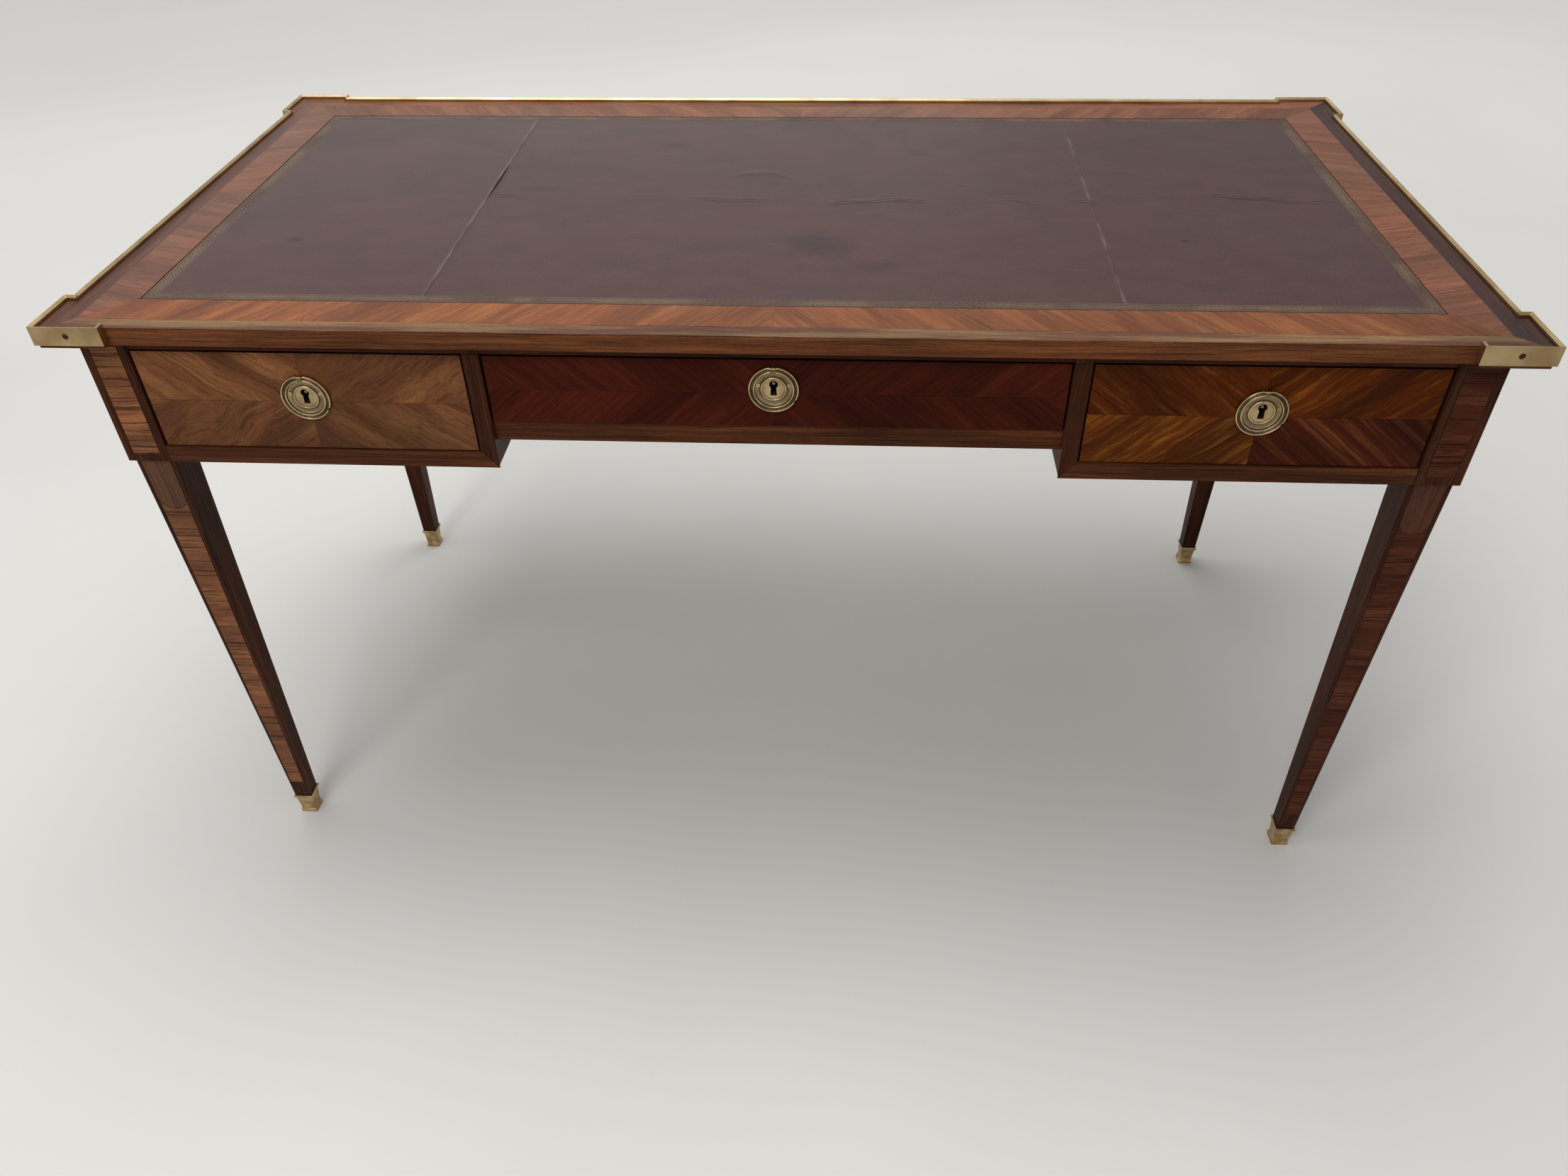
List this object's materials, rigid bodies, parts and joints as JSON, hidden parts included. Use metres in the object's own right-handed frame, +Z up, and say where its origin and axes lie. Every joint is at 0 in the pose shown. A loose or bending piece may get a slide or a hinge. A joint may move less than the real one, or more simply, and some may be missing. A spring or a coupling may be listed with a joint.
{
  "type": "flat desk",
  "caption": "Flat writing desk with a leather-lined top in a brass gallery, frieze drawers with ring pulls over a kneehole, and square tapered legs in brass shoes.",
  "frame": {"origin": "on the floor under the middle of the top", "axes": "+Z up, +X along the length to the right of a sitter's view of the front, +Y from front to back"},
  "size_m": [1.434, 0.711, 0.765],
  "materials": {
    "leather": "glazed skiver",
    "crossband_veneer": "waxed",
    "dark_veneer": "waxed",
    "drawer_veneer": "french polished",
    "oak": "planed, bare",
    "brass": "worn, aged",
    "steel": "dull"
  },
  "bodies": {
    "desk": {"back_apron": "dark_veneer", "bottom_rail_left": "dark_veneer", "bottom_rail_right": "dark_veneer", "centre_rail": "dark_veneer", "divider_left": "dark_veneer", "divider_right": "dark_veneer", "drawer_kickers": "oak", "drawer_runners": "oak", "drawer_stops": "oak", "gallery_corner_back_left": "brass", "gallery_corner_back_right": "brass", "gallery_corner_front_left": "brass", "gallery_corner_front_right": "brass", "gallery_rail_back": "brass", "gallery_rail_left": "brass", "gallery_rail_right": "brass", "gallery_screws": "brass", "leg_back_left": "dark_veneer", "leg_back_right": "dark_veneer", "leg_front_left": "dark_veneer", "leg_front_right": "dark_veneer", "shoe_back_left": "brass", "shoe_back_right": "brass", "shoe_front_left": "brass", "shoe_front_right": "brass", "side_apron_left": "dark_veneer", "side_apron_right": "dark_veneer", "top_board": "dark_veneer", "top_crossbanding": "crossband_veneer", "top_edge_banding": "dark_veneer", "top_leather": "leather", "top_rail": "dark_veneer", "top_screws": "steel"},
    "drawer_left": {"drawer_left_front": "drawer_veneer", "drawer_left_sides": "oak", "drawer_left_back": "oak", "drawer_left_bottom": "oak", "drawer_left_escutcheon": "brass", "drawer_left_lock": "brass", "drawer_left_screws": "brass"},
    "ring_left": {"drawer_left_ring": "brass"},
    "bolt_left": {"drawer_left_bolt": "steel"},
    "drawer_centre": {"drawer_centre_front": "drawer_veneer", "drawer_centre_sides": "oak", "drawer_centre_back": "oak", "drawer_centre_bottom": "oak", "drawer_centre_escutcheon": "brass", "drawer_centre_lock": "brass", "drawer_centre_screws": "brass"},
    "ring_centre": {"drawer_centre_ring": "brass"},
    "bolt_centre": {"drawer_centre_bolt": "steel"},
    "drawer_right": {"drawer_right_front": "drawer_veneer", "drawer_right_sides": "oak", "drawer_right_back": "oak", "drawer_right_bottom": "oak", "drawer_right_escutcheon": "brass", "drawer_right_lock": "brass", "drawer_right_screws": "brass"},
    "ring_right": {"drawer_right_ring": "brass"},
    "bolt_right": {"drawer_right_bolt": "steel"}
  },
  "joints": [
    {"name": "drawer_left_slide", "type": "slide", "parent": "desk", "child": "drawer_left", "axis": [0, -1, 0], "range_m": [0, 0.4]},
    {"name": "ring_left_swing", "type": "hinge", "parent": "drawer_left", "child": "ring_left", "pos_m": [-0.47575, -0.3315, 0.6998], "axis": [-1, 0, 0], "range_deg": [0, 90]},
    {"name": "bolt_left_throw", "type": "slide", "parent": "drawer_left", "child": "bolt_left", "axis": [0, 0, 1], "range_m": [0, 0.008]},
    {"name": "drawer_centre_slide", "type": "slide", "parent": "desk", "child": "drawer_centre", "axis": [0, -1, 0], "range_m": [0, 0.4]},
    {"name": "ring_centre_swing", "type": "hinge", "parent": "drawer_centre", "child": "ring_centre", "pos_m": [0, -0.3315, 0.71755], "axis": [-1, 0, 0], "range_deg": [0, 90]},
    {"name": "bolt_centre_throw", "type": "slide", "parent": "drawer_centre", "child": "bolt_centre", "axis": [0, 0, 1], "range_m": [0, 0.008]},
    {"name": "drawer_right_slide", "type": "slide", "parent": "desk", "child": "drawer_right", "axis": [0, -1, 0], "range_m": [0, 0.4]},
    {"name": "ring_right_swing", "type": "hinge", "parent": "drawer_right", "child": "ring_right", "pos_m": [0.47575, -0.3315, 0.6998], "axis": [-1, 0, 0], "range_deg": [0, 90]},
    {"name": "bolt_right_throw", "type": "slide", "parent": "drawer_right", "child": "bolt_right", "axis": [0, 0, 1], "range_m": [0, 0.008]}
  ]
}
